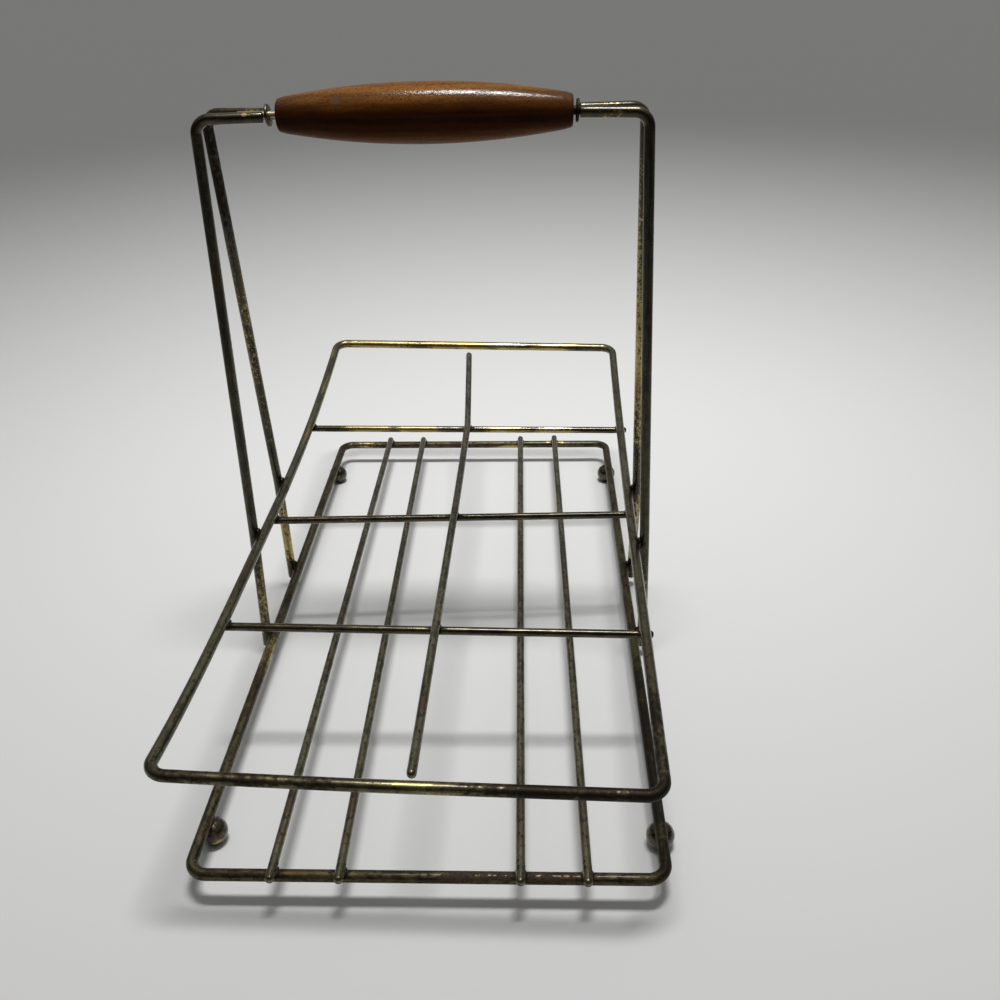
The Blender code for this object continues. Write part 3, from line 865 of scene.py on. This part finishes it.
# %% A ring led round an outline, and the grip
def turn_piece(name, outline, centre, facets):
    """A piece turned about the carrier's X axis. The outline is (along, radius), and closes."""
    last, size = centre + Vector((outline[0][0], 0, 0)), outline[0][1]
    piece, _ = start_ring(name, last, Vector((1, 0, 0)), size, facets)
    for along, radius in outline[1:] + outline[:1]:
        place = centre + Vector((along, 0, 0))
        bpy.ops.mesh.extrude_region_move(TRANSFORM_OT_translate={"value": place - last})
        wider = (1, radius / size, radius / size)
        bpy.ops.transform.resize(value=wider, center_override=place)
        last, size = place, radius
    finish_mesh()
    return piece


def eased_end(along, radius, edge, side, steps=5):
    """A quarter turn that eases the rim of an end face. Side is -1 on the left, 1 on the right."""
    turn = [math.pi / 2 * step / steps for step in range(steps + 1)]
    rim = [
        (side * (along - edge + edge * math.cos(a)), radius - edge + edge * math.sin(a))
        for a in turn
    ]
    return rim if side < 0 else rim[::-1]


# The bore, the radius at the grip's ends, and how much wider its middle is
BORE, END_RADIUS, BELLY = LIGHT / 2 + GAP, 5.6 * MM, 4.55 * MM
# The eased rim, the ring of points within each end face, and the broken edge round the bore
GRIP_EDGE, FACE_RING, BROKEN_EDGE = 1 * MM, 3.4 * MM, 0.4 * MM
# Points round the grip, rings along its barrel, and the share of its length that they take up
GRIP_FACETS, BARREL_RINGS, BARREL_SHARE = 72, 60, 0.98
GRIP_SHIFT = 1 * MM
grip_centre = Vector((leaning(HANDLE_Z) + GRIP_SHIFT, 0, HANDLE_Z))
alongs = [
    GRIP_HALF * (2 * ring / BARREL_RINGS - 1) * BARREL_SHARE for ring in range(1, BARREL_RINGS)
]
outline = [
    (-GRIP_HALF, BORE + BROKEN_EDGE),
    (-GRIP_HALF, FACE_RING),
    *eased_end(GRIP_HALF, END_RADIUS, GRIP_EDGE, -1),
    *((along, END_RADIUS + BELLY * (1 - (along / GRIP_HALF) ** 2)) for along in alongs),
    *eased_end(GRIP_HALF, END_RADIUS, GRIP_EDGE, 1),
    (GRIP_HALF, FACE_RING),
    (GRIP_HALF, BORE + BROKEN_EDGE),
    (GRIP_HALF - BROKEN_EDGE, BORE),
    (0, BORE),
    (-GRIP_HALF + BROKEN_EDGE, BORE),
]
grip = turn_piece("turned_grip", outline, grip_centre, GRIP_FACETS)
show(grip)

# %% [markdown]
# The wood is a close-grained hardwood with a red-brown stain and a clear lacquer. The grain runs
# along the grip: broad bands from the growth rings, short dark flecks, and faint rings left by the
# lathe. The stain is darker towards the ends. Light and shade are painted in as well: the top is
# painted lighter for the light from above, the underside a little lighter for the light from the
# pale floor, and the stain itself as dark as the shade between them. The lacquer is worn, and
# there are two old knocks in it.

# %% The stained wood
# The stain is painted as dark as the shade on the middle of the grip. The top is painted lighter
# for the light from above, and the underside a little lighter for the light from the pale floor.
STAIN_AND_SHADE, RED_STAIN_AND_SHADE = (0.011, 0.002, 0.0005, 1), (0.035, 0.009, 0.0015, 1)
UNDERSIDE_FLOOR_LIGHT, TOP_LIT_FROM_ABOVE = (0.12, 0.049, 0.015, 1), (0.255, 0.098, 0.01, 1)
RING, FIBRE, FLECK = (0.055, 0.014, 0.004, 1), (0.05, 0.013, 0.004, 1), (0.03, 0.009, 0.002, 1)
PORE, NEAR_END = (0.04, 0.011, 0.002, 1), (0.035, 0.01, 0.004, 1)
SCUFF, TICK = (0.085, 0.068, 0.042, 1), (0.02, 0.008, 0.005, 1)
# The heart of the tree, in front of the grip's middle and below it, and the rings' taper along it
HEART_BEFORE, HEART_BELOW, RING_TAPER = 9 * MM, 21 * MM, 0.06
# The two knocks: where, and how far they reach
KNOCK, NICK = ((-0.0311, -0.0064, 0.2213), 3.6 * MM), ((0.0012, -0.0074, 0.2225), 1.6 * MM)


def near_point(tree, place, point, reach):
    """1 at a point, easing to 0 at its reach."""
    apart = tree.nodes.new("ShaderNodeVectorMath")
    apart.operation = "DISTANCE"
    feed(tree, apart.inputs[0], place)
    apart.inputs[1].default_value = point
    return rise(tree, sums(tree, (apart.outputs["Value"], -1 / reach), (1.0, 1.0)), 0.0, 0.8)


def wave(tree, kind, place, scale, distortion):
    """A wave texture of rings or bands about the grip's length."""
    made = tree.nodes.new("ShaderNodeTexWave")
    made.wave_type = kind
    made.rings_direction = made.bands_direction = "X"
    made.inputs["Scale"].default_value = scale
    made.inputs["Distortion"].default_value = distortion
    feed(tree, made.inputs["Vector"], place)
    return made


def stained_wood(centre):
    """The grip's wood, with its stain, its grain and what is left of its lacquer."""
    material = bpy.data.materials.new("stained_wood")
    material.use_nodes = True
    tree = material.node_tree
    shader = tree.nodes["Principled BSDF"].inputs
    place = tree.nodes.new("ShaderNodeTexCoord").outputs["Object"]
    part_of = tree.nodes.new("ShaderNodeSeparateXYZ")
    feed(tree, part_of.inputs[0], place)

    from_heart = tree.nodes.new("ShaderNodeMapping")
    from_heart.inputs["Location"].default_value = (-centre.x, HEART_BEFORE, HEART_BELOW - centre.z)
    from_heart.inputs["Scale"].default_value = (RING_TAPER, 1.0, 1.0)
    feed(tree, from_heart.inputs["Vector"], place)
    rings = wave(tree, "RINGS", from_heart.outputs[0], 95, 2.2)
    rings.inputs["Detail"].default_value = 3
    rings.inputs["Detail Scale"].default_value = 1.2
    clouds = grain(tree, place, (28, 130, 130), 4)
    fibres = grain(tree, place, (90, 1300, 1300), 4, 0.6)
    flecks = grain(tree, place, (420, 2000, 2000), 2)
    pores = grain(tree, place, (1500, 2600, 2600), 2)
    peel = grain(tree, place, (800, 1500, 1500), 2)
    height = 10 * MM
    # How high a point lies on the grip, broken by clouds. It places the painted light on the top
    # and underneath, and the lacquer.
    height_on_grip = sums(
        tree, (part_of.outputs["Z"], 1 / height), (1.0, -centre.z / height), (clouds, 0.8)
    )
    to_end = tree.nodes.new("ShaderNodeMath")
    to_end.operation = "ABSOLUTE"
    along = sums(tree, (part_of.outputs["X"], 1 / GRIP_HALF), (1.0, -centre.x / GRIP_HALF))
    feed(tree, to_end.inputs[0], along)
    knock, nick = near_point(tree, place, *KNOCK), near_point(tree, place, *NICK)
    scuffed = sums(tree, (knock, 0.3), (pores, 0.5), (clouds, 0.4))
    scuffed = rise(tree, scuffed, 0.55, 0.8, 0.55)
    ticks = rise(tree, sums(tree, (nick, 0.35), (flecks, 1.0)), 0.78, 0.88, 0.9)
    colour = layered(
        tree, STAIN_AND_SHADE,
        (rise(tree, clouds, 0.35, 0.65), RED_STAIN_AND_SHADE),
        # Painted light: the underside lighter from the floor below, the top lighter from above
        (rise(tree, height_on_grip, 0.1, -0.4), UNDERSIDE_FLOOR_LIGHT),
        (rise(tree, height_on_grip, 0.45, 1.4), TOP_LIT_FROM_ABOVE),
        (rise(tree, rings.outputs["Fac"], 0.45, 0.95, 0.4), RING),
        (rise(tree, fibres, 0.5, 0.62, 0.3), FIBRE),
        (rise(tree, flecks, 0.58, 0.68, 0.4), FLECK),
        (rise(tree, pores, 0.5, 0.64, 0.6), PORE),
        (rise(tree, to_end.outputs[0], 0.8, 1.01, 0.4), NEAR_END),
        (scuffed, SCUFF),
        (ticks, TICK),
    )
    tree.links.new(colour, shader["Base Color"])
    dull = sums(tree, (clouds, 0.25), (fibres, 0.12), (scuffed, 0.4), (1.0, 0.2))
    tree.links.new(dull, shader["Roughness"])
    shader["Specular IOR Level"].default_value = 0.03

    worn_coat = sums(tree, (scuffed, -1.0), (pores, -1.6), (clouds, -0.3), (1.0, 1.6))
    kept = tree.nodes.new("ShaderNodeMath")
    kept.operation = "MULTIPLY"
    feed(tree, kept.inputs[0], rise(tree, worn_coat, 0.3, 0.9, 0.62))
    feed(tree, kept.inputs[1], rise(tree, height_on_grip, 0.2, 0.9))
    tree.links.new(kept.outputs[0], shader["Coat Weight"])
    shader["Coat Roughness"].default_value = 0.17

    turned = wave(tree, "BANDS", place, 420, 1.5)
    relief = sums(
        tree, (turned.outputs["Fac"], 0.06), (flecks, 0.2), (peel, 0.5), (clouds, 0.8),
        (knock, -0.1), (ticks, -1.0)
    )
    normal = embossed(tree, relief, 0.35, 0.25 * MM)
    tree.links.new(normal, shader["Normal"])
    tree.links.new(normal, shader["Coat Normal"])
    return material


dress(grip, stained_wood(grip_centre), "grip", ["wooden_grip"])
print("material", grip.data.materials[0].name)

# %% [markdown]
# ## The washers
# Two stamped brass washers keep the grip off the ends of the bail's wires. They are loose and hang
# a little askew, the left one more than the right one.

# %% The washers
WASHER_HALF, WASHER_RADIUS, WASHER_EDGE = 0.5 * MM, 3.85 * MM, 0.35 * MM
WASHER_FACETS = 48
# The side, the lean in degrees, how bare the washer is and how dark
WASHERS = {"left": (-1, -4, 0.5, 0.45), "right": (1, 1.5, 0.1, 1.2)}


def tilted(piece, centre, degrees):
    """The points of a piece turned about Y through a centre."""
    turn = Matrix.Rotation(math.radians(degrees), 3, "Y")
    for vertex in piece.data.vertices:
        vertex.co = centre + turn @ (vertex.co - centre)
    piece.data.update()


for side_name, (side, lean, bare, dark) in WASHERS.items():
    along = side * (WIRES_END - GAP - WASHER_HALF) + leaning(HANDLE_Z)
    centre = Vector((along, 0, HANDLE_Z))
    outline = [
        (-WASHER_HALF, BORE),
        *eased_end(WASHER_HALF, WASHER_RADIUS, WASHER_EDGE, -1, 4),
        *eased_end(WASHER_HALF, WASHER_RADIUS, WASHER_EDGE, 1, 4),
        (WASHER_HALF, BORE),
    ]
    washer = turn_piece(f"brass_washer_{side_name}", outline, centre, WASHER_FACETS)
    tilted(washer, centre, lean)
    paint(washer, "bare", [(centre + Vector((WASHER_HALF, 0, 0)), 3.4 * MM, bare)])
    paint(washer, "scorched", [(centre, 12 * MM, dark)])
    dress(washer, TURNED_BRASS, f"{side_name}_washer", [f"washer_{side_name}"])
    show(washer)

# %% [markdown]
# ## The feet
# Four brass balls. Each starts as a sphere, is cut flat where it stands and gets a few faint dents.
# Its top is sunk a little into the wire that it was welded to.

# %% The feet
# How deep the dents are, how close together, and from what height up
DENT, DENTS_PER_METRE, DENTS_ABOVE = 0.07 * MM, 420, 0.5 * MM
# How rusty and how bare a ball is, and the one that is rubbed and has rusted
BALL_WEAR, RUBBED_WEAR, RUBBED_BALL = (0.3, 0.1), (1.3, 1.5), "front_left"
for corner, side, end in CORNERS:
    centre = on_base(side * HALF_WIDTH + FOOT_SLIPS[corner], end * (BASE_HALF - BALL_INSET))
    centre.z = BALL / 2 - BALL_FLAT
    nothing_selected()
    bpy.ops.mesh.primitive_uv_sphere_add(
        segments=40, ring_count=28, radius=BALL / 2, location=centre
    )
    ball = bpy.context.object
    ball.name = ball.data.name = f"ball_{corner}"
    bpy.ops.object.transform_apply(location=True, rotation=True, scale=True)
    bpy.ops.object.mode_set(mode="EDIT")
    bpy.ops.mesh.select_all(action="SELECT")
    bpy.ops.mesh.bisect(
        plane_co=(0, 0, TOUCHING), plane_no=(0, 0, -1), use_fill=True, clear_outer=True
    )
    finish_mesh(50)
    for vertex in ball.data.vertices:
        other_place = Vector((side, end, 0)) * 9
        dent = noise.noise(vertex.co * DENTS_PER_METRE + other_place)
        if vertex.co.z > DENTS_ABOVE:
            vertex.co += (vertex.co - centre).normalized() * DENT * dent
    rusty, bare = RUBBED_WEAR if corner == RUBBED_BALL else BALL_WEAR
    paint(ball, "scorched", [(centre + Vector((0, 0, 4 * MM)), 4.5 * MM, 1.0)])
    paint(ball, "rusty", [(centre + Vector((0, -3 * MM, 2 * MM)), 6 * MM, rusty)])
    paint(ball, "bare", [(centre + Vector((2.5 * MM, -3.5 * MM, -2 * MM)), 3.5 * MM, bare)])
    dress(ball, BALL_BRASS, replaces=[f"ball_foot_{corner}"])
    show(ball)

# %% [markdown]
# ## The welds
# At each crossing the wires were pressed together and fused, which leaves a small lump of black
# scale. One lump is modelled from a roughened ball. Each weld, also between the rod and the legs,
# gets a copy with its own mesh, rolled over and squashed to suit the wires that it joins.

# %% The weld lumps
nothing_selected()
bpy.ops.mesh.primitive_ico_sphere_add(subdivisions=4, radius=1)
lump = bpy.context.object
bpy.ops.object.mode_set(mode="EDIT")
bpy.ops.mesh.select_all(action="SELECT")
bpy.ops.transform.vertex_random(offset=0.12, uniform=0.0, normal=1.0, seed=4)
bpy.ops.mesh.vertices_smooth(factor=0.5, repeat=3)
finish_mesh(180)


def weld_lump(name, place, size):
    """A copy of the lump, rolled over by a number from its name and squashed to a size in mm."""
    made = lump.copy()
    made.data = lump.data.copy()
    made.name = made.data.name = "weld_" + name
    bpy.context.scene.collection.objects.link(made)
    number = len(made.name) + sum(map(ord, made.name))
    roll = Matrix.Rotation(number * 1.7, 4, Vector((1, number % 3, 1)).normalized())
    scale = Matrix.Diagonal((*(s * MM for s in size), 1))
    made.data.transform(Matrix.Translation(place) @ scale @ roll)
    dress(made, WELD_SCALE)


WELD_SIZES = {
    "floor": (2.1, 2.2, 0.8),
    "cross": (2.1, 2.2, 0.8),
    "divider": (1.9, 1.9, 0.7),
    "leg": (0.75, 2.1, 2.4),
    "foot": (1.7, 2.9, 1.0),
}
ROD_WELD_SIZE = (4.8, 0.5, 0.9)
for name, place in WELDS.items():
    weld_lump(name, place, WELD_SIZES[name.split("_")[0]])
for corner, side, end in CORNERS:
    along = side * (WIRES_END + ROD_WELD / 2) + leaning(HANDLE_Z)
    place = Vector((along, end * (LIGHT / 2 + GAP / 2), HANDLE_Z))
    weld_lump(f"rod_{corner}", place, ROD_WELD_SIZE)
bpy.data.objects.remove(lump)
